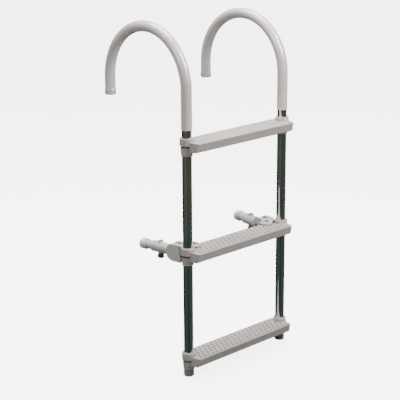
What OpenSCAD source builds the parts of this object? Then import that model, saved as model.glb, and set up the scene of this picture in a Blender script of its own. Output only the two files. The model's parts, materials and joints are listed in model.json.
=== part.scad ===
// Boat boarding ladder with hooked uprights, moulded steps and folding stand-offs.
// Millimetres, +Z up, +X along the steps, +Y towards the boat.
// The origin is midway between the two hooks, where their crowns rest on the gunwale.

/* [Uprights] */
// Outside diameter of the upright tubes
tube_d = 22; // [20:0.5:25]
// Wall of the upright tubes
tube_wall = 1.5; // [1:0.1:2]
// Distance between the axes of the two uprights
upright_spacing = 305; // [290:1:400]
// Centre-line radius of the hook bend
hook_r = 127; // [110:1:150]
// Straight run from the top tread to the start of the hook bend
top_step_to_bend = 110; // [90:1:160]
// Straight run of the hook's tip below the bend
hook_drop = 38; // [25:1:80]

/* [Hook sleeves and caps] */
// Outside diameter of the soft sleeve on each hook
sleeve_d = 24.4; // [24:0.1:28]
// Height of the sleeve's lower end above the top tread
sleeve_above_step = 25.5; // [15:0.5:60]
// Outside diameter of the cap on each hook's tip
hook_cap_d = 26.4; // [25.5:0.1:30]
// Length of the cap on each hook's tip
hook_cap_h = 14; // [10:0.5:20]
// Outside diameter of the foot caps
foot_cap_d = 24; // [23.5:0.1:30]
// Length of the foot caps
foot_cap_h = 17; // [12:0.5:17]

/* [Steps] */
// Number of steps
step_count = 3; // [3:1:3]
// Distance between treads
step_pitch = 250; // [230:1:300]
// Height of the bottom tread above the feet
foot_to_tread = 50; // [50:1:100]
// Distance from the uprights' axes to the tread's front edge
step_front = 37; // [34:1:45]
// Distance from the uprights' axes to the tread's back edge
step_back = 24; // [24:1:24]
// Height of the step's body
step_h = 22; // [20:1:24]
// How far the front face leans in at the bottom
step_rake = 5; // [2:0.5:7]
// Half length of the tread's straight front edge
step_half = 154; // [154:1:154]
// Radius of the collar around each upright
collar_r = 16; // [15:0.5:17]
// Height of the collar's rim above the tread
collar_rise = 7.5; // [4:0.5:12]
// Length of the lower collar below the tread
collar_drop = 32; // [28:1:32]
// Side of the square grip pockets in the tread
pocket = 6.5; // [5:0.5:8]
// Depth of the grip pockets
pocket_depth = 1.2; // [0.8:0.1:2]
// Distance between grip pockets along the step
pocket_pitch = 13; // [12:0.5:16]
// Distance between rows of grip pockets
pocket_row_pitch = 12; // [11:0.5:12.5]

/* [Stand-offs] */
// Outward angle of each stand-off arm
arm_yaw = 8.2; // [0:0.1:9]
// Pivot's distance outboard of the middle plane
pivot_x = 141.5; // [140:0.5:143]
// Pivot's distance behind the uprights' axes
pivot_y = 48; // [47:0.5:52]
// Pivot's depth below the middle tread
pivot_below = 14; // [12:0.5:15]
// Radius of the bracket's round cheeks
cheek_r = 20.5; // [18:0.5:21]
// Outside width of the bracket across its cheeks
cheek_span = 32; // [30:0.5:34]
// Thickness of the arm's tongue between the cheeks
tongue_t = 12; // [10:0.5:14]
// Outside diameter of the arm's socket
socket_d = 26; // [25:0.5:27]
// Distance from the pivot to the socket's mouth
socket_mouth = 68; // [66:1:80]
// Outside diameter of the extension tube
extension_d = 20.5; // [18:0.5:21]
// Distance from the pivot to the clamp bolt
clamp_u = 47; // [45:0.5:50]
// Diameter of the clamp bolt
clamp_bolt_d = 6; // [5:0.5:6]
// Distance from the pivot to the end of the bumper
bumper_end = 103; // [100:1:115]
// Diameter of the bumper
bumper_d = 25.5; // [22:0.5:26]
// Length of the bumper
bumper_h = 17; // [14:0.5:18]
// Diameter of the clamp knob
knob_d = 15; // [13:0.5:18]
// Travel of the extension into the socket
extension_travel = 14; // [5:1:14]

/* [Hidden] */
$fn = 64;
eps = 0.01;
// How far cutting shapes run past the faces they cut
past = 1;

tube_r = tube_d / 2;
sleeve_r = sleeve_d / 2;
upright_x = upright_spacing / 2;
bend_z = foot_to_tread + (step_count - 1) * step_pitch + top_step_to_bend;
seat_z = bend_z + hook_r - sleeve_r;
middle_z = foot_to_tread + step_pitch;

foot_floor = 4;
cap_floor = 3;

plate_t = 4.5;
wall_t = 3;
rib_t = 2.5;
cell_count = 7;
cell_half = 128;
rib_y = -5;
slot_top = 9;
slot_h = 4;
slot_inboard = 3;
slot_front = 14.5;
pocket_rows = 5;
pocket_columns = 23;
pocket_first_row = -29;
pocket_clear = 22;

screw_head_r = 3.2;
screw_head_h = 2;
screw_r = 1.8;
screw_l = 5;
screw_thread_gap = 0.05;
screw_below_tread = 27;
screw_seat = 2.2;
cross_w = 0.8;
cross_depth = 0.9;
cross_reach = 0.6;

anchor = [118, 15];
pad_r = 15;
jaw_t = 5;
anchor_bolt_r = 3;
anchor_boss_r = 7.5;
anchor_nut_r = 5.8;
anchor_nut_h = 5;
anchor_end = 0.5;
collar_clearance = 0.5;
jaw_clearance = 0.05;
detent_count = 8;
detent_ring_r = 10;
detent_r = 1.9;
detent_depth = 1.5;
cheek_gap = tongue_t / 2 + 0.2;
cheek_t = cheek_span / 2 - cheek_gap;
bridge_u = 14.5;
bridge_back = 23;
pivot_r = 4;
pivot_end = 13;
pivot_head_r = 6.5;
pivot_head_h = 4;
pivot_nut_r = 7.4;
pivot_nut_h = 5;
running = 0.08;
tongue_r = 12;
socket_start = 21.5;
socket_bore_end = 25;
slide_gap = 0.1;
boss_r = 6.5;
boss_top = 16.5;
boss_recess = 3.5;
clamp_head_r = 4.6;
clamp_head_h = 2.6;
clamp_end = 23;
knob_face = 0.6;
knob_gap = 0.4;
knob_h = 11;
knob_lobes = 6;
knob_thread = 9.6;
extension_wall = 2;
extension_inner = 39.7;
slot_clearance = 0.35;
bumper_cup = 10;

// Moves a shape from ladder coordinates (uprights' axes at y = 0, feet at z = 0) to the part's frame.
module in_frame() {
  translate([0, -hook_r, -seat_z]) children();
}

// Draws a shape on the right side, or mirrored on the left side.
module on_side(side) {
  if (side > 0) children();
  else mirror([1, 0, 0]) children();
}

// Puts a shape at one upright's axis.
module at_upright(side) {
  in_frame() on_side(side) translate([upright_x, 0, 0]) children();
}

// Puts a shape at one stand-off's pivot: x outboard, y along the arm, z up.
module at_pivot(side) {
  in_frame() on_side(side)
    translate([pivot_x, pivot_y, middle_z - pivot_below])
      rotate([0, 0, -arm_yaw]) children();
}

// Points along a circular arc.
function arc(centre, radius, from, to, count = 6) =
  [for (i = [0:count]) let (a = from + (to - from) * i / count) centre + radius * [cos(a), sin(a)]];

// A round bar or tube that follows an upright and its hook, from height z0 to the hook's tip at tip_z.
module hook_run(r, z0, tip_z) {
  translate([0, 0, z0]) cylinder(r = r, h = bend_z - z0);
  translate([0, hook_r, bend_z])
    rotate([90, 0, 90])
      rotate_extrude(angle = 180) translate([hook_r, 0]) circle(r = r);
  translate([0, 2 * hook_r, tip_z]) cylinder(r = r, h = bend_z - tip_z);
}

module upright(side) {
  color([0.62, 0.62, 0.6]) at_upright(side) difference() {
    hook_run(tube_r, foot_floor, bend_z - hook_drop);
    hook_run(tube_r - tube_wall, foot_floor - past, bend_z - hook_drop - past);
    for (level = [0:step_count - 1])
      translate([0, 0, foot_to_tread + level * step_pitch - screw_below_tread]) rotate([0, -90, 0])
        cylinder(r = screw_r + screw_thread_gap, h = tube_d);
  }
}

module hook_sleeve(side) {
  sleeve_z = foot_to_tread + (step_count - 1) * step_pitch + sleeve_above_step;
  color([0.8, 0.78, 0.76]) at_upright(side) difference() {
    hook_run(sleeve_r, sleeve_z, bend_z - hook_drop);
    hook_run(tube_r, sleeve_z - past, bend_z - hook_drop - past);
  }
}

// A cup that closes a tube's end. Its mouth is at z = 0 and it points down.
module end_cup(outer_r, inner_r, height, floor_t, round_r) {
  rim = 1.2;
  profile = concat(
    [[0, -height]],
    arc([outer_r - round_r, round_r - height], round_r, -90, 0),
    [[outer_r, -rim], [outer_r - rim / 2, 0], [inner_r, 0]],
    [[inner_r, floor_t - height], [0, floor_t - height]]
  );
  rotate_extrude() polygon(profile);
}

module hook_cap(side) {
  groove_w = 1.6;
  groove_depth = 0.7;
  groove_at = 0.45;
  tip_round_r = 3.5;
  color([0.82, 0.81, 0.79]) at_upright(side)
    translate([0, 2 * hook_r, bend_z - hook_drop - cap_floor + hook_cap_h])
      difference() {
        end_cup(hook_cap_d / 2, sleeve_r, hook_cap_h, cap_floor, tip_round_r);
        translate([0, 0, -hook_cap_h * groove_at]) difference() {
          cylinder(r = hook_cap_d, h = groove_w);
          translate([0, 0, -eps]) cylinder(r = hook_cap_d / 2 - groove_depth, h = groove_w + 2 * eps);
        }
      }
}

module foot_cap(side) {
  foot_round_r = 3;
  color([0.55, 0.57, 0.56]) at_upright(side)
    translate([0, 0, foot_cap_h])
      end_cup(foot_cap_d / 2, tube_r, foot_cap_h, foot_floor, foot_round_r);
}

// Cross-section of the step's body, from front to back.
module step_profile() {
  edge_r = 2.5;
  back_lean = 1;
  facets = 4;
  polygon(concat(
    arc([edge_r + step_rake - step_front, edge_r - step_h], edge_r, 270, 190, facets),
    arc([edge_r - step_front, -edge_r], edge_r, 170, 90, facets),
    arc([step_back - edge_r, -edge_r], edge_r, 90, 0, facets),
    arc([step_back - edge_r - back_lean, edge_r - step_h], edge_r, 0, -90, facets)
  ));
}

// Outline of the step seen from above, without its collars.
module step_plan() {
  corner_r = 5;
  corner_end = -12;
  facets = 5;
  meets_collar = [6.4, -14.6];
  back_inset = 4;
  right = concat(
    arc([step_half - corner_r, corner_r - step_front], corner_r, -90, corner_end, facets),
    [[upright_x, 0] + meets_collar, [upright_x, 0], [upright_x - back_inset, step_back]]
  );
  left = [for (i = [len(right) - 1:-1:0]) [-right[i][0], right[i][1]]];
  polygon(concat(right, left));
}

// Everything solid in one end of a step: the rim, the upper collar and the tapered lower collar.
module collar() {
  edge = 1;
  lip_h = 2;
  lip_step = 0.4;
  shoulder_r = collar_r - 1.8;
  neck_r = collar_r - 3.1;
  lip_r = collar_r - 2.6;
  end_r = collar_r - 2.9;
  translate([upright_x, 0, 0]) rotate_extrude() polygon([
    [0, collar_rise],
    [collar_r - edge, collar_rise],
    [collar_r, collar_rise - edge],
    [collar_r, -slot_top],
    [shoulder_r, -slot_top - slot_h],
    [neck_r, lip_h - collar_drop],
    [lip_r, lip_h - collar_drop - lip_step],
    [end_r, -collar_drop],
    [0, -collar_drop]
  ]);
}

// Open slot in the outboard side of the collar.
module collar_slot() {
  translate([upright_x - slot_inboard, -slot_front, -slot_top - slot_h])
    cube([collar_r + 2 * slot_inboard, slot_front + collar_r + past, slot_h]);
}

// Hollows under the tread, between the ribs.
module underside_cells() {
  cell_l = (2 * cell_half - (cell_count - 1) * rib_t) / cell_count;
  cell_h = step_h + past - plate_t;
  front_y = wall_t + step_rake - step_front;
  back_y = step_back - wall_t - past;
  for (i = [0:cell_count - 1]) translate([i * (cell_l + rib_t) - cell_half, 0, -step_h - past]) {
    translate([0, front_y, 0]) cube([cell_l, rib_y - rib_t / 2 - front_y, cell_h]);
    translate([0, rib_y + rib_t / 2, 0]) cube([cell_l, back_y - rib_y - rib_t / 2, cell_h]);
  }
}

// Staggered rows of square grip pockets, kept clear of the collars.
module grip_pockets() {
  for (row = [0:pocket_rows - 1]) {
    y = pocket_first_row + row * pocket_row_pitch;
    shift = (row % 2) * pocket_pitch / 2;
    for (column = [0:pocket_columns - 1 - row % 2]) {
      x = (column - (pocket_columns - 1) / 2) * pocket_pitch + shift;
      if (norm([upright_x - abs(x), y]) > pocket_clear)
        translate([x - pocket / 2, y - pocket / 2, -pocket_depth])
          cube([pocket, pocket, pocket_depth + past]);
    }
  }
}

module step(level, carries_standoffs = false) {
  color([0.76, 0.73, 0.71]) in_frame()
    translate([0, 0, foot_to_tread + level * step_pitch])
      difference() {
        union() {
          difference() {
            intersection() {
              rotate([90, 0, 90])
                linear_extrude(height = 2 * upright_spacing, center = true) step_profile();
              translate([0, 0, -step_h - past]) linear_extrude(height = step_h + 2 * past) step_plan();
            }
            underside_cells();
          }
          for (side = [-1, 1]) on_side(side) {
            collar();
            if (carries_standoffs)
              translate([anchor[0], anchor[1], -step_h])
                cylinder(r = anchor_boss_r, h = step_h - plate_t / 2);
          }
        }
        grip_pockets();
        for (side = [-1, 1]) on_side(side) {
          translate([upright_x, 0, -collar_drop - past])
            cylinder(r = tube_r, h = collar_drop + collar_rise + 2 * past);
          collar_slot();
          translate([upright_x, 0, -screw_below_tread]) rotate([0, -90, 0])
            translate([0, 0, tube_r - past]) cylinder(r = screw_r, h = collar_r - tube_r + 2 * past);
          if (carries_standoffs)
            translate([anchor[0], anchor[1], -step_h - past])
              cylinder(r = anchor_bolt_r, h = step_h + 2 * past);
        }
      }
}

// One self-tapping screw through the inboard side of a lower collar.
module step_screw() {
  head_x = collar_r - screw_seat;
  translate([upright_x, 0, -screw_below_tread]) rotate([0, -90, 0]) {
    translate([0, 0, head_x - screw_l]) cylinder(r = screw_r, h = screw_l);
    translate([0, 0, head_x]) difference() {
      cylinder(r = screw_head_r, h = screw_head_h);
      for (turn = [0, 90]) rotate([0, 0, turn])
        translate([-screw_head_r * cross_reach, -cross_w / 2, screw_head_h - cross_depth])
          cube([2 * screw_head_r * cross_reach, cross_w, cross_depth + past]);
    }
  }
}

module step_screws() {
  color([0.7, 0.7, 0.7]) in_frame()
    for (level = [0:step_count - 1], side = [-1, 1])
      translate([0, 0, foot_to_tread + level * step_pitch]) on_side(side) step_screw();
}

// One jaw of the bracket seen from above, in ladder coordinates.
module jaw_plan() {
  pad_back = anchor + [-10, 9];
  pad_front = anchor + [9, -10];
  beside_collar = [upright_x - 6, 14];
  outer_corner = [upright_x + 4, 28];
  inner_corner = [pivot_x - 16, 34];
  difference() {
    union() {
      translate(anchor) circle(r = pad_r);
      polygon([pad_back, pad_front, beside_collar, outer_corner, inner_corner]);
    }
    translate([upright_x, 0]) circle(r = collar_r + collar_clearance);
  }
}

// The two jaws, the two round cheeks and the block that joins them, before anything is cut out.
module bracket_body(side) {
  in_frame() on_side(side)
    for (z = [0, -step_h - jaw_t])
      translate([0, 0, middle_z + z]) linear_extrude(height = jaw_t) jaw_plan();
  at_pivot(side) {
    for (inner = [cheek_gap, -cheek_span / 2]) {
      translate([inner, 0, 0]) rotate([0, 90, 0]) cylinder(r = cheek_r, h = cheek_t);
      translate([inner, -bridge_back, -cheek_r]) cube([cheek_t, bridge_back, 2 * cheek_r]);
    }
    translate([-cheek_span / 2, -bridge_back, -cheek_r])
      cube([cheek_span, bridge_back - bridge_u, 2 * cheek_r]);
  }
}

// Ring of round recesses in the pad round the bracket bolt.
module detents() {
  for (i = [0:detent_count - 1])
    translate([anchor[0], anchor[1], middle_z + jaw_t - detent_depth])
      rotate([0, 0, 360 * i / detent_count]) translate([detent_ring_r, 0, 0])
        cylinder(r = detent_r, h = detent_depth + past);
}

// Moulded bracket: two jaws over and under the step, and two round cheeks behind it.
module standoff_bracket(side) {
  color([0.72, 0.7, 0.68]) difference() {
    bracket_body(side);
    in_frame() on_side(side) {
      translate([0, -step_front, middle_z - step_h])
        cube([2 * upright_x, step_front + step_back + jaw_clearance, step_h]);
      translate([upright_x, 0, middle_z - 2 * collar_drop])
        cylinder(r = collar_r + collar_clearance, h = 3 * collar_drop);
      translate([anchor[0], anchor[1], middle_z - step_h - jaw_t - past])
        cylinder(r = anchor_bolt_r, h = step_h + 2 * jaw_t + 2 * past);
      detents();
    }
    at_pivot(side) rotate([0, 90, 0]) {
      translate([0, 0, -cheek_span]) cylinder(r = pivot_r, h = cheek_span + pivot_end);
      translate([0, 0, cheek_gap - eps]) cylinder(r = pivot_nut_r, h = pivot_nut_h + eps, $fn = 6);
    }
  }
}

module bracket_bolts() {
  head_r = 5.5;
  head_h = 3.5;
  key_r = 2.6;
  key_depth = 2;
  shank_l = step_h + 2 * jaw_t + anchor_nut_h + anchor_end;
  color([0.8, 0.8, 0.8]) in_frame()
    for (side = [-1, 1]) on_side(side) translate([anchor[0], anchor[1], middle_z + jaw_t]) difference() {
      union() {
        cylinder(r = head_r, h = head_h);
        translate([0, 0, -shank_l]) cylinder(r = anchor_bolt_r, h = shank_l);
      }
      translate([0, 0, head_h - key_depth]) cylinder(r = key_r, h = key_depth + past, $fn = 6);
    }
}

module bracket_nuts() {
  color([0.8, 0.8, 0.8]) in_frame()
    for (side = [-1, 1]) on_side(side)
      translate([anchor[0], anchor[1], middle_z - step_h - jaw_t - anchor_nut_h]) difference() {
        cylinder(r = anchor_nut_r, h = anchor_nut_h, $fn = 6);
        translate([0, 0, -past]) cylinder(r = anchor_bolt_r, h = anchor_nut_h + 2 * past);
      }
}

// Pivot bolts: heads on the inboard cheeks, ends in nuts held inside the outboard cheeks.
module pivot_bolts() {
  key_r = 3.2;
  key_depth = 2.5;
  color([0.8, 0.8, 0.8])
    for (side = [-1, 1]) at_pivot(side) rotate([0, 90, 0]) difference() {
      union() {
        translate([0, 0, -cheek_span / 2]) cylinder(r = pivot_r, h = cheek_span / 2 + pivot_end);
        translate([0, 0, -cheek_span / 2 - pivot_head_h]) cylinder(r = pivot_head_r, h = pivot_head_h);
      }
      translate([0, 0, -cheek_span / 2 - pivot_head_h - past])
        cylinder(r = key_r, h = key_depth + past, $fn = 6);
    }
}

module pivot_nuts() {
  color([0.8, 0.8, 0.8])
    for (side = [-1, 1]) at_pivot(side) rotate([0, 90, 0]) translate([0, 0, cheek_gap]) difference() {
      cylinder(r = pivot_nut_r, h = pivot_nut_h, $fn = 6);
      translate([0, 0, -past]) cylinder(r = pivot_r, h = pivot_nut_h + 2 * past);
    }
}

// Moulded arm: a tongue on the pivot, a tapered socket, and a boss for the clamp bolt.
module standoff_arm(side) {
  bore_r = extension_d / 2 + slide_gap;
  socket_r = socket_d / 2;
  shoulder_r = 2;
  waist_r = socket_r - 0.7;
  bead_w = 2.5;
  edge = 0.6;
  mouth = socket_mouth - socket_start;
  taper_start = clamp_u + boss_r + 1 - socket_start;
  color([0.74, 0.72, 0.7]) at_pivot(side) difference() {
    union() {
      translate([-tongue_t / 2, 0, 0]) rotate([0, 90, 0]) cylinder(r = tongue_r, h = tongue_t);
      translate([-tongue_t / 2, 0, -tongue_r]) cube([tongue_t, socket_start + past, 2 * tongue_r]);
      translate([0, socket_start, 0]) rotate([-90, 0, 0]) rotate_extrude() polygon(concat(
        [[0, 0]],
        arc([socket_r - shoulder_r, shoulder_r], shoulder_r, -90, 0, 4),
        [
          [socket_r, taper_start],
          [waist_r, mouth - bead_w - edge],
          [socket_r, mouth - bead_w],
          [socket_r, mouth - edge],
          [socket_r - edge, mouth],
          [0, mouth]
        ]
      ));
      translate([0, clamp_u, 0]) cylinder(r = boss_r, h = boss_top);
      translate([0, clamp_u, -socket_r - knob_face]) cylinder(r = boss_r, h = socket_r);
    }
    translate([-tongue_t, 0, 0]) rotate([0, 90, 0]) cylinder(r = pivot_r + running, h = 2 * tongue_t);
    translate([0, socket_bore_end, 0]) rotate([-90, 0, 0]) cylinder(r = bore_r, h = socket_mouth);
    translate([0, clamp_u, -socket_d]) cylinder(r = clamp_bolt_d / 2, h = 2 * socket_d);
    translate([0, clamp_u, boss_top - boss_recess]) cylinder(r = clamp_head_r, h = boss_recess + past);
  }
}

module clamp_bolt(side) {
  key_r = 2.4;
  key_depth = 1.6;
  head_top = boss_top - boss_recess + clamp_head_h;
  color([0.78, 0.78, 0.78]) at_pivot(side) translate([0, clamp_u, 0]) difference() {
    union() {
      translate([0, 0, -clamp_end]) cylinder(r = clamp_bolt_d / 2, h = clamp_end + boss_top - boss_recess);
      translate([0, 0, boss_top - boss_recess]) cylinder(r = clamp_head_r, h = clamp_head_h);
    }
    translate([0, 0, head_top - key_depth]) cylinder(r = key_r, h = key_depth + past, $fn = 6);
  }
}

// Knob under the arm that tightens the clamp bolt.
module clamp_knob(side) {
  top = -socket_d / 2 - knob_face - knob_gap;
  lobe_r = knob_d / 2;
  end_r = 1.5;
  neck_r = lobe_r - 2;
  neck_h = 2.2;
  skirt_h = 3;
  flute_r = 2.6;
  flute_out = 1.4;
  color([0.2, 0.21, 0.21]) at_pivot(side) translate([0, clamp_u, top - knob_h]) difference() {
    rotate_extrude() polygon(concat(
      [[0, 0]],
      arc([lobe_r - end_r, end_r], end_r, -90, 0, 4),
      [[lobe_r, knob_h - skirt_h], [neck_r, knob_h - neck_h], [neck_r, knob_h], [0, knob_h]]
    ));
    for (i = [0:knob_lobes - 1])
      rotate([0, 0, 360 * i / knob_lobes]) translate([lobe_r + flute_out, 0, -past])
        cylinder(r = flute_r, h = knob_h);
    translate([0, 0, knob_h - knob_thread])
      cylinder(r = clamp_bolt_d / 2 + running, h = knob_thread + past);
  }
}

// Tube that slides in the socket. The clamp bolt passes through its slot.
module extension_tube(side) {
  r = extension_d / 2;
  outer_end = bumper_end - bumper_h + bumper_cup;
  slot_r = clamp_bolt_d / 2 + slot_clearance;
  color([0.77, 0.75, 0.73]) at_pivot(side) difference() {
    translate([0, extension_inner, 0]) rotate([-90, 0, 0]) cylinder(r = r, h = outer_end - extension_inner);
    translate([0, extension_inner - past, 0]) rotate([-90, 0, 0])
      cylinder(r = r - extension_wall, h = outer_end - extension_inner + 2 * past);
    translate([-slot_r, clamp_u, -extension_d]) cube([2 * slot_r, extension_travel, 2 * extension_d]);
    for (end = [0, extension_travel])
      translate([0, clamp_u + end, -extension_d]) cylinder(r = slot_r, h = 2 * extension_d);
  }
}

// Soft bumper pressed on the end of the extension tube.
module bumper(side) {
  r = bumper_d / 2;
  edge = 0.8;
  groove_start = 3;
  groove_slope = 0.6;
  groove_depth = 1;
  groove_end = 5;
  tip_r = 4;
  color([0.8, 0.79, 0.77]) at_pivot(side) translate([0, bumper_end - bumper_h, 0]) rotate([-90, 0, 0])
    rotate_extrude() polygon(concat(
      [
        [extension_d / 2, 0],
        [r - edge, 0],
        [r, edge],
        [r, groove_start],
        [r - groove_depth, groove_start + groove_slope],
        [r - groove_depth, groove_end - groove_slope],
        [r, groove_end]
      ],
      arc([r - tip_r, bumper_h - tip_r], tip_r, 0, 90),
      [[0, bumper_h], [0, bumper_cup], [extension_d / 2, bumper_cup]]
    ));
}

upright(-1);  // left_upright
upright(1);  // right_upright
hook_sleeve(-1);  // left_hook_sleeve
hook_sleeve(1);  // right_hook_sleeve
hook_cap(-1);  // left_hook_cap
hook_cap(1);  // right_hook_cap
step(2);  // top_step
step(1, true);  // middle_step
step(0);  // bottom_step
step_screws();
foot_cap(-1);  // left_foot_cap
foot_cap(1);  // right_foot_cap
standoff_bracket(-1);  // left_standoff_bracket
standoff_bracket(1);  // right_standoff_bracket
bracket_bolts();
bracket_nuts();
pivot_bolts();
pivot_nuts();
standoff_arm(-1);  // left_standoff_arm
standoff_arm(1);  // right_standoff_arm
clamp_bolt(-1);  // left_clamp_bolt
clamp_bolt(1);  // right_clamp_bolt
clamp_knob(-1);  // left_clamp_knob
clamp_knob(1);  // right_clamp_knob
extension_tube(-1);  // left_extension_tube
extension_tube(1);  // right_extension_tube
bumper(-1);  // left_bumper
bumper(1);  // right_bumper
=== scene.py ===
"""Looks for a boat boarding ladder: polished tubes, sheathed hooks, steps and stand-offs."""
import json
import math

import bmesh
import bpy
from mathutils import Matrix, Vector


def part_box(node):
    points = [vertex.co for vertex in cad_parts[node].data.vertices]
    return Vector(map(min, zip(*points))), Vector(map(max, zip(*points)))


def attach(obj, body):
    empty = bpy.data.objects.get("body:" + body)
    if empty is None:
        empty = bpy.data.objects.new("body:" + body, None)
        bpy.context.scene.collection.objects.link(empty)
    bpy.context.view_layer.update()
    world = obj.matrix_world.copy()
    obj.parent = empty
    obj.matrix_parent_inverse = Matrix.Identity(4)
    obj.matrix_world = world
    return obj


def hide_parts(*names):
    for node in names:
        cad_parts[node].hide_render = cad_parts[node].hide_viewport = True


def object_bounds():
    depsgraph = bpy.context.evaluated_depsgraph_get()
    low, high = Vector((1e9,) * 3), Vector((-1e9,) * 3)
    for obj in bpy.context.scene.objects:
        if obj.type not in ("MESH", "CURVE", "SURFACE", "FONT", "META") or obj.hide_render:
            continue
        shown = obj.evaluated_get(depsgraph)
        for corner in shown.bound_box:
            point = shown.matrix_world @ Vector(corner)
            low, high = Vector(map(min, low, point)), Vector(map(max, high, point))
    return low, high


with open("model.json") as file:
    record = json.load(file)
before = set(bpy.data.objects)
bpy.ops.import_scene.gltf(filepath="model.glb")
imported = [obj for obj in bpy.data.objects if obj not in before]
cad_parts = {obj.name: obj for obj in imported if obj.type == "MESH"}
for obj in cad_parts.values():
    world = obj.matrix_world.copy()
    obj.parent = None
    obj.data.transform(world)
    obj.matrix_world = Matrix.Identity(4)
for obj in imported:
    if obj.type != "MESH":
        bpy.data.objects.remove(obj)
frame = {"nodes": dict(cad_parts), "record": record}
CAD_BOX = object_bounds()

NODES = frame["nodes"]
MM = 0.001

# Camera: the photograph's angle, in degrees, and its framing.
CAMERA_AZIMUTH = -43.77
CAMERA_ELEVATION = 16.19
CAMERA_ROLL = -0.4
CAMERA_LENS = 108.0
CAMERA_DISTANCE = 2.82
AIM_OFFSET = Vector((-0.0087, -0.0053, -0.0338))
SENSOR_WIDTH = 36.0
NEAREST_SEEN = 0.1

# Light: what the floor, the walls and the ceiling of the studio give.
FLOOR_SIZE = 40
FLOOR_GLOW = 5.0
FLOOR_BOUNCE = (0.045, 0.085, 0.08)
SKY_STRENGTH = 0.55
CEILING = (0.9, 0.89, 0.88)
TEAL = (0.050, 0.082, 0.074)
DIM = (0.030, 0.042, 0.040)
BLACK = (0.002, 0.004, 0.003)
PALE = (0.42, 0.44, 0.43)
# Wall colours round the room, from -X through -Y, +X and +Y back to -X.
WALLS = (
    (0.00, TEAL), (0.06, TEAL), (0.11, DIM), (0.17, DIM), (0.24, TEAL), (0.38, TEAL), (0.44, DIM),
    (0.49, PALE), (0.56, PALE), (0.59, BLACK), (0.80, BLACK), (0.86, TEAL), (1.00, TEAL),
)
# Ramps from LOWEST_LOOK (a downward direction) to straight up: how far the walls give way to the
# ceiling, and how bright the soft sky is for matt surfaces.
LOWEST_LOOK = -0.4
CEILING_SHARE = (
    (0.0, (0, 0, 0)), (0.3, (0.03, 0.03, 0.03)), (0.75, (0.2, 0.2, 0.2)), (1.0, (1, 1, 1)),
)
SOFT_SKY = ((0.0, (0.05, 0.06, 0.06)), (0.4, (0.22, 0.23, 0.23)), (1.0, (1, 1, 1)))
BACKDROP = ((1, 1, 1), 2.0)

# Rounding of the moulded parts' edges: welding distance in metres, angles in degrees.
WELD = 0.00001
FLAT_BELOW = 0.5
SHARP_ABOVE = 50
SMOOTH_BELOW = 35
BEVEL_STEPS = 3
NORMAL_WEIGHT = 100
FACING_UP = 0.98


# ---------------------------------------------------------------- node helpers

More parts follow.
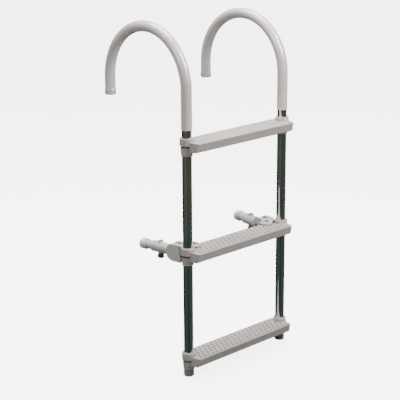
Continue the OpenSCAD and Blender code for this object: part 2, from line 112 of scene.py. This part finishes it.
class Graph:
    """A short way to write a material's node tree."""

    def __init__(self, name):
        self.material = bpy.data.materials.new(name)
        self.material.use_nodes = True
        self.tree = self.material.node_tree
        self.shader = self.tree.nodes["Principled BSDF"]

    def node(self, kind, **settings):
        made = self.tree.nodes.new(kind)
        for key, value in settings.items():
            setattr(made, key, value)
        return made

    def link(self, source, target):
        self.tree.links.new(source, target)

    def position(self, scale=(1, 1, 1)):
        """Object coordinates in metres, stretched by scale."""
        coordinates = self.node("ShaderNodeTexCoord")
        mapping = self.node("ShaderNodeMapping")
        mapping.inputs["Scale"].default_value = scale
        self.link(coordinates.outputs["Object"], mapping.inputs["Vector"])
        return mapping.outputs["Vector"]

    def noise(self, scale, detail=3.0, stretch=(1, 1, 1), distortion=0.0):
        made = self.node("ShaderNodeTexNoise")
        made.inputs["Scale"].default_value = scale
        made.inputs["Detail"].default_value = detail
        made.inputs["Distortion"].default_value = distortion
        self.link(self.position(stretch), made.inputs["Vector"])
        return made.outputs["Fac"]

    def spread(self, value, low, high, start=0.3, end=0.7):
        """Maps a texture value from start..end to low..high."""
        made = self.node("ShaderNodeMapRange")
        made.inputs["From Min"].default_value = start
        made.inputs["From Max"].default_value = end
        made.inputs["To Min"].default_value = low
        made.inputs["To Max"].default_value = high
        self.link(value, made.inputs["Value"])
        return made.outputs["Result"]

    def mix(self, factor, first, second):
        """A colour between first and second; each is a colour or a socket."""
        made = self.node("ShaderNodeMix", data_type="RGBA")
        self.link(factor, made.inputs["Factor"])
        for value, socket in ((first, made.inputs[6]), (second, made.inputs[7])):
            if isinstance(value, bpy.types.NodeSocket):
                self.link(value, socket)
            else:
                socket.default_value = (*value, 1)
        return made.outputs[2]

    def patches(self, scale, detail):
        """A soft mask from 0 to 1."""
        return self.spread(self.noise(scale, detail), 0, 1)

    def soft_edges(self, radius):
        """The surface normal, with every hard edge rounded off."""
        made = self.node("ShaderNodeBevel", samples=6)
        made.inputs["Radius"].default_value = radius
        return made.outputs["Normal"]

    def bump(self, height, strength, distance, below=None):
        made = self.node("ShaderNodeBump")
        made.inputs["Strength"].default_value = strength
        made.inputs["Distance"].default_value = distance
        self.link(height, made.inputs["Height"])
        if below:
            self.link(below, made.inputs["Normal"])
        return made.outputs["Normal"]

    def hollows(self, distance, low=0.35, high=0.9):
        """1 in corners and pockets, 0 on open surfaces."""
        made = self.node("ShaderNodeAmbientOcclusion", samples=8)
        made.inputs["Distance"].default_value = distance
        return self.spread(made.outputs["AO"], 1.0, 0.0, low, high)

    def height_or_slope(self, output, operation, value):
        """1 where the height (Position) or the upward slope (True Normal) is past a value."""
        geometry = self.node("ShaderNodeNewGeometry")
        split = self.node("ShaderNodeSeparateXYZ")
        self.link(geometry.outputs[output], split.inputs[0])
        test = self.node("ShaderNodeMath", operation=operation)
        self.link(split.outputs["Z"], test.inputs[0])
        test.inputs[1].default_value = value
        return test.outputs[0]

    def below(self, height):
        return self.height_or_slope("Position", "LESS_THAN", height)

    def floors_below(self, height):
        """1 on surfaces that face up and lie below a height, such as the pockets' floors."""
        both = self.node("ShaderNodeMath", operation="MULTIPLY")
        self.link(self.below(height), both.inputs[0])
        self.link(self.height_or_slope("True Normal", "GREATER_THAN", FACING_UP), both.inputs[1])
        return both.outputs[0]

    def feed(self, value, name):
        """Links a socket to one of the shader's inputs."""
        self.link(value, self.shader.inputs[name])

    def set(self, **values):
        names = {"coat": "Coat Weight", "coat_roughness": "Coat Roughness", "metallic": "Metallic",
                 "specular": "Specular IOR Level", "roughness": "Roughness"}
        for key, value in values.items():
            self.shader.inputs[names[key]].default_value = value


def lighter(colour, factor):
    return tuple(min(1.0, c * factor) for c in colour)


def moulded_plastic(name, colour, roughness, painted_shade=(0.36, 0.32, 0.29), pockets_below=None,
                    pocket_shade=(0.3, 0.27, 0.25), slots_below=None):
    """Satin moulded plastic: fine grain, faint mottling, and painted shade in the corners and
    narrow gaps and, where heights are given, on pocket and slot floors.
    """
    g = Graph(name)
    mottled = g.mix(g.patches(14, 4), lighter(colour, 0.93), lighter(colour, 1.05))
    specks = g.spread(g.noise(900, 2), 0, 0.35)
    speckled = g.mix(specks, mottled, lighter(colour, 0.8))
    # Painted shade: darker in corners and creases, where less light reaches.
    shaded_colour = g.mix(g.hollows(0.004), speckled, painted_shade)
    # Painted shade: near-black deep inside narrow gaps, such as the collars' slots.
    shaded_colour = g.mix(g.hollows(0.02, 0.30, 0.50), shaded_colour, lighter(painted_shade, 0.08))
    # Painted shade: pocket floors below the given height take a darker colour with a faint random
    # mottle.
    if pockets_below is not None:
        mottled_pocket_shade = g.mix(g.patches(180, 3), pocket_shade, lighter(pocket_shade, 1.25))
        shaded_colour = g.mix(g.floors_below(pockets_below), shaded_colour, mottled_pocket_shade)
    # Painted shade: slot floors below the given height are near-black.
    if slots_below is not None:
        shaded_colour = g.mix(g.floors_below(slots_below), shaded_colour, lighter(painted_shade, 0.05))
    g.feed(shaded_colour, "Base Color")
    g.feed(g.spread(g.noise(120, 3), roughness - 0.06, roughness + 0.08), "Roughness")
    undulation = g.bump(g.noise(70, 2), 0.12, 0.0006, g.soft_edges(0.0007))
    g.feed(g.bump(g.noise(2200, 2), 0.35, 0.00012, undulation), "Normal")
    g.set(specular=0.45)
    return g.material


def glossy_vinyl(name, colour, roughness, rim_below=None):
    """Soft glossy PVC: slow waves along the tube, a thin clear skin and a pale cut rim below."""
    g = Graph(name)
    mottled = g.mix(g.patches(9, 4), lighter(colour, 0.95), lighter(colour, 1.04))
    shaded = g.mix(g.hollows(0.003), mottled, lighter(colour, 0.55))
    if rim_below is not None:
        shaded = g.mix(g.below(rim_below), shaded, CUT_RIM)
    g.feed(shaded, "Base Color")
    g.feed(g.spread(g.noise(60, 4), roughness - 0.04, roughness + 0.08), "Roughness")
    waves = g.bump(g.noise(26, 2), 0.10, 0.0012)
    g.feed(g.bump(g.noise(700, 2), 0.08, 0.0001, waves), "Normal")
    g.set(coat=1.0, coat_roughness=0.06, specular=0.5)
    return g.material


def polished_tube(name):
    """Polished stainless tube: fine lengthwise polishing lines and faint smears."""
    g = Graph(name)
    lines = g.noise(1.0, 4, stretch=(1400, 1400, 14))
    smears = g.noise(22, 4, distortion=0.6)
    g.feed(g.mix(g.spread(lines, 0, 1), (0.62, 0.615, 0.60), (0.74, 0.73, 0.715)), "Base Color")
    g.feed(g.spread(smears, 0.07, 0.17), "Roughness")
    g.feed(g.bump(lines, 0.05, 0.00003), "Normal")
    g.set(metallic=1.0)
    return g.material


def steel_fastener(name):
    """Turned steel: bolts, nuts and screws."""
    g = Graph(name)
    turned = g.noise(420, 3)
    g.feed(g.mix(g.spread(turned, 0, 1), (0.50, 0.50, 0.49), (0.66, 0.66, 0.64)), "Base Color")
    g.feed(g.spread(turned, 0.22, 0.38), "Roughness")
    g.feed(g.bump(g.noise(1500, 2), 0.2, 0.00008), "Normal")
    g.set(metallic=1.0)
    return g.material


def soft_rubber(name, colour):
    """Matt dusty rubber, with painted shade in its corners."""
    g = Graph(name)
    dusty = g.mix(g.patches(45, 4), lighter(colour, 0.9), lighter(colour, 1.06))
    # Painted shade: darker in corners and creases.
    g.feed(g.mix(g.hollows(0.003), dusty, lighter(colour, 0.5)), "Base Color")
    g.feed(g.spread(g.noise(150, 3), 0.5, 0.68), "Roughness")
    g.feed(g.bump(g.noise(1300, 2), 0.3, 0.00015), "Normal")
    g.set(specular=0.4)
    return g.material


CUT_RIM = (0.85, 0.84, 0.82)
CUT_RIM_HEIGHT = 0.0015
STANDOFF_COLOUR = (0.56, 0.53, 0.505)
MATERIALS = {
    "tube": polished_tube("polished_stainless"),
    "hook_sleeve": glossy_vinyl("hook_sleeve_pvc", (0.72, 0.625, 0.60), 0.30,
                                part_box("left_hook_sleeve")[0].z + CUT_RIM_HEIGHT),
    "hook_cap": glossy_vinyl("hook_cap_pvc", (0.66, 0.61, 0.59), 0.34),
    "standoff": moulded_plastic("standoff_plastic", STANDOFF_COLOUR, 0.44),
    "bumper": soft_rubber("bumper_rubber", (0.78, 0.755, 0.73)),
    "foot_cap": soft_rubber("foot_cap_rubber", (0.23, 0.285, 0.275)),
    # The knob's painted shade in corners and gaps is near-black.
    "knob": moulded_plastic("knob_plastic", (0.07, 0.085, 0.08), 0.4,
                            painted_shade=(0.02, 0.024, 0.023)),
    "fastener": steel_fastener("fastener_steel"),
}


# Each step: its plastic, how dark the painted shade on its pocket floors is, and how far these and
# the collars' slots lie below its rim. The bracket's recesses lie below its top.
STEP_COLOUR = (0.50, 0.435, 0.41)
# Painted shade on the pocket floors: darker on the lower steps.
STEP_POCKET_SHADE = {"top_step": 0.55, "middle_step": 0.32, "bottom_step": 0.28}
RIM_ABOVE_POCKETS = 0.0081
RIM_ABOVE_SLOT = 0.018
BRACKET_RECESS = 0.002


def step_plastic(name):
    # Painted shade colour for this step's pocket floors.
    pocket = lighter(STEP_COLOUR, STEP_POCKET_SHADE[name])
    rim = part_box(name)[1].z
    return moulded_plastic(name + "_plastic", STEP_COLOUR, 0.46, pocket_shade=pocket,
                           pockets_below=rim - RIM_ABOVE_POCKETS,
                           slots_below=rim - RIM_ABOVE_SLOT)


def bracket_plastic(name):
    """The stand-off's plastic, with painted shade, near-black, on the floors of the recesses round
    the rosette.
    """
    return moulded_plastic(name + "_plastic", STANDOFF_COLOUR, 0.44,
                           pockets_below=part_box(name)[1].z - BRACKET_RECESS,
                           pocket_shade=(0.09, 0.085, 0.08))


def material_for(name, slot):
    if name in STEP_POCKET_SHADE:
        return step_plastic(name)
    return bracket_plastic(name) if name.endswith("_bracket") else MATERIALS[slot]


# How far each moulded node's edges are rounded, in millimetres.
EDGE_ROUNDING = {"step": 0.7, "standoff": 0.5, "bumper": 0.5, "foot_cap": 0.5, "hook_cap": 0.4,
                 "knob": 0.5}
BRACKET_ROUNDING = 1.6


def edge_rounding(name, slot):
    return (BRACKET_ROUNDING if name.endswith("_bracket") else EDGE_ROUNDING[slot]) * MM


def rounded_copy(name, piece, radius):
    """A copy of a CAD node whose outside edges are really rounded off."""
    mesh = bmesh.new()
    mesh.from_mesh(piece.data)
    mesh.transform(piece.matrix_world)
    bmesh.ops.remove_doubles(mesh, verts=mesh.verts, dist=WELD)
    bmesh.ops.dissolve_limit(mesh, angle_limit=math.radians(FLAT_BELOW), verts=mesh.verts,
                             edges=mesh.edges)
    sharp = [edge for edge in mesh.edges
             if edge.is_manifold and edge.is_convex
             and edge.calc_face_angle(0) > math.radians(SHARP_ABOVE)
             and min(face.calc_area() for face in edge.link_faces) > radius * radius]
    bmesh.ops.bevel(mesh, geom=sharp, offset=radius, segments=BEVEL_STEPS, profile=0.5,
                    affect="EDGES", offset_type="OFFSET", clamp_overlap=False, loop_slide=True)
    data = bpy.data.meshes.new(name + "_rounded")
    mesh.to_mesh(data)
    mesh.free()
    made = bpy.data.objects.new(name + "_rounded", data)
    bpy.context.scene.collection.objects.link(made)
    for face in data.polygons:
        face.use_smooth = True
    data.set_sharp_from_angle(angle=math.radians(SMOOTH_BELOW))
    even = made.modifiers.new("even_normals", "WEIGHTED_NORMAL")
    even.keep_sharp = True
    even.weight = NORMAL_WEIGHT
    return made


def dress_nodes():
    """Gives each node its material; moulded nodes get copies with rounded edges."""
    bodies = frame["record"]["behaviour"]["bodies"]
    body_of = {node: body for body, nodes in bodies.items() for node in nodes}
    for row in frame["record"]["subparts"]:
        name, slot = row["node"], row["material_slot"]
        piece = NODES[name]
        if slot in EDGE_ROUNDING:
            made = rounded_copy(name, piece, edge_rounding(name, slot))
            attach(made, body_of[name])
            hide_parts(name)
            piece = made
        piece.data.materials.clear()
        piece.data.materials.append(material_for(name, slot))


dress_nodes()


# ---------------------------------------------------------------- floor, light and camera

def pale_floor():
    """A pale floor that the camera sees nearly white. It throws only a little light back up."""
    bpy.ops.mesh.primitive_plane_add(size=FLOOR_SIZE, location=(0, 0, CAD_BOX[0].z))
    floor = bpy.context.object
    floor.name = "floor"
    g = Graph("pale_floor")
    g.feed(g.mix(g.patches(3, 3), (0.84, 0.84, 0.84), (0.88, 0.88, 0.88)), "Base Color")
    g.set(roughness=0.8, specular=0.1)
    g.shader.inputs["Emission Color"].default_value = (1, 1, 1, 1)
    g.shader.inputs["Emission Strength"].default_value = FLOOR_GLOW
    dull = g.node("ShaderNodeBsdfDiffuse")
    dull.inputs["Color"].default_value = (*FLOOR_BOUNCE, 1)
    ray = g.node("ShaderNodeLightPath")
    choice = g.node("ShaderNodeMixShader")
    g.link(ray.outputs["Is Camera Ray"], choice.inputs["Fac"])
    g.link(dull.outputs[0], choice.inputs[1])
    g.link(g.shader.outputs[0], choice.inputs[2])
    g.link(choice.outputs[0], g.tree.nodes["Material Output"].inputs["Surface"])
    floor.data.materials.append(g.material)
    floor.visible_glossy = False


def ramp_node(tree, stops):
    """A colour ramp from (position, colour) pairs."""
    made = tree.nodes.new("ShaderNodeValToRGB")
    elements = made.color_ramp.elements
    while len(elements) > 1:
        elements.remove(elements[-1])
    elements[0].position, elements[0].color = stops[0][0], (*stops[0][1], 1)
    for position, colour in stops[1:]:
        elements.new(position).color = (*colour, 1)
    return made


def world_light():
    """Soft light from above for matt surfaces; a dim room with pale and teal walls for gloss."""
    world = bpy.data.worlds.new("studio")
    bpy.context.scene.world = world
    world.use_nodes = True
    tree = world.node_tree
    tree.nodes.clear()

    def node(kind, **settings):
        made = tree.nodes.new(kind)
        for key, value in settings.items():
            setattr(made, key, value)
        return made

    def background(colour, strength=1.0):
        made = node("ShaderNodeBackground")
        made.inputs["Strength"].default_value = strength
        if isinstance(colour, bpy.types.NodeSocket):
            tree.links.new(colour, made.inputs["Color"])
        else:
            made.inputs["Color"].default_value = (*colour, 1)
        return made.outputs[0]

    def choose(factor, first, second):
        made = node("ShaderNodeMixShader")
        tree.links.new(factor, made.inputs["Fac"])
        tree.links.new(first, made.inputs[1])
        tree.links.new(second, made.inputs[2])
        return made.outputs[0]

    coordinates = node("ShaderNodeTexCoord")
    split = node("ShaderNodeSeparateXYZ")
    tree.links.new(coordinates.outputs["Generated"], split.inputs[0])
    height = node("ShaderNodeMapRange")
    height.inputs["From Min"].default_value = LOWEST_LOOK
    tree.links.new(split.outputs["Z"], height.inputs["Value"])
    turn = node("ShaderNodeMath", operation="ARCTAN2")
    tree.links.new(split.outputs["Y"], turn.inputs[0])
    tree.links.new(split.outputs["X"], turn.inputs[1])
    around = node("ShaderNodeMapRange")
    around.inputs["From Min"].default_value = -math.pi
    around.inputs["From Max"].default_value = math.pi
    tree.links.new(turn.outputs[0], around.inputs["Value"])

    walls = ramp_node(tree, WALLS)
    tree.links.new(around.outputs[0], walls.inputs["Fac"])
    above = ramp_node(tree, CEILING_SHARE)
    tree.links.new(height.outputs[0], above.inputs["Fac"])
    blend = node("ShaderNodeMix", data_type="RGBA")
    tree.links.new(above.outputs["Color"], blend.inputs["Factor"])
    tree.links.new(walls.outputs["Color"], blend.inputs[6])
    blend.inputs[7].default_value = (*CEILING, 1)
    sky = ramp_node(tree, SOFT_SKY)
    tree.links.new(height.outputs[0], sky.inputs["Fac"])

    ray = node("ShaderNodeLightPath")
    soft = background(sky.outputs["Color"], SKY_STRENGTH)
    seen = background(*BACKDROP)
    mirrored = background(blend.outputs[2])
    surface = choose(ray.outputs["Is Glossy Ray"], soft, mirrored)
    surface = choose(ray.outputs["Is Camera Ray"], surface, seen)
    output = node("ShaderNodeOutputWorld")
    tree.links.new(surface, output.inputs["Surface"])


def soft_light(name, place, target, size, power, colour=(1, 1, 1), in_gloss=True,
               in_diffuse=True):
    """A rectangular light, aimed at target. The camera doesn't see it."""
    lamp = bpy.data.lights.new(name, "AREA")
    lamp.shape = "RECTANGLE"
    lamp.size, lamp.size_y = size
    lamp.energy = power
    lamp.color = colour
    holder = bpy.data.objects.new(name, lamp)
    bpy.context.scene.collection.objects.link(holder)
    holder.location = place
    facing = Vector(target) - Vector(place)
    holder.rotation_euler = facing.to_track_quat("-Z", "Y").to_euler()
    holder.visible_camera = False
    holder.visible_glossy = in_gloss
    holder.visible_diffuse = in_diffuse


def studio_lights():
    """Soft light from above and the left, and strips for the front, the hooks and the tubes."""
    middle = (CAD_BOX[0] + CAD_BOX[1]) / 2
    soft_light("overhead", place=middle + Vector((0.1, 0.4, 1.9)), target=middle,
               size=(1.6, 1.2), power=95)
    soft_light("left", place=middle + Vector((-2.1, -0.25, 1.2)),
               target=middle + Vector((0, 0, 0.1)), size=(0.9, 0.8), power=20)
    soft_light("right_fill", place=(0.52, -1.05, -0.05), target=(0.0, 0.0, -0.05),
               size=(0.05, 1.1), power=4, in_gloss=False)
    soft_light("high_strip", place=(0.25, -1.00, 0.70), target=(-0.05, -0.1, 0.0),
               size=(0.05, 0.8), power=20)
    soft_light("hook_streak", place=(0.25, -1.00, 0.70), target=(-0.05, -0.1, 0.0),
               size=(0.10, 0.8), power=60, colour=(1.0, 0.97, 0.95), in_diffuse=False)
    soft_light("brown_card", place=(-0.85, -0.55, -0.52), target=(-0.1, -0.1, -0.45),
               size=(1.5, 0.38), power=0.12, colour=(1.0, 0.38, 0.05))


def photo_camera():
    """The camera at the photograph's angle, aimed a little off the ladder's middle."""
    azimuth, elevation = math.radians(CAMERA_AZIMUTH), math.radians(CAMERA_ELEVATION)
    level = math.cos(elevation)
    back = Vector((math.sin(azimuth) * level, -math.cos(azimuth) * level, math.sin(elevation)))
    camera = bpy.data.objects.new("camera", bpy.data.cameras.new("camera"))
    bpy.context.scene.collection.objects.link(camera)
    aim = (CAD_BOX[0] + CAD_BOX[1]) / 2 + AIM_OFFSET
    camera.location = aim + back * CAMERA_DISTANCE
    roll = Matrix.Rotation(math.radians(CAMERA_ROLL), 3, "Z")
    camera.rotation_euler = ((-back).to_track_quat("-Z", "Y").to_matrix() @ roll).to_euler()
    camera.data.sensor_width = SENSOR_WIDTH
    camera.data.lens = CAMERA_LENS
    camera.data.clip_start = NEAREST_SEEN
    bpy.context.scene.camera = camera


pale_floor()
world_light()
studio_lights()
photo_camera()
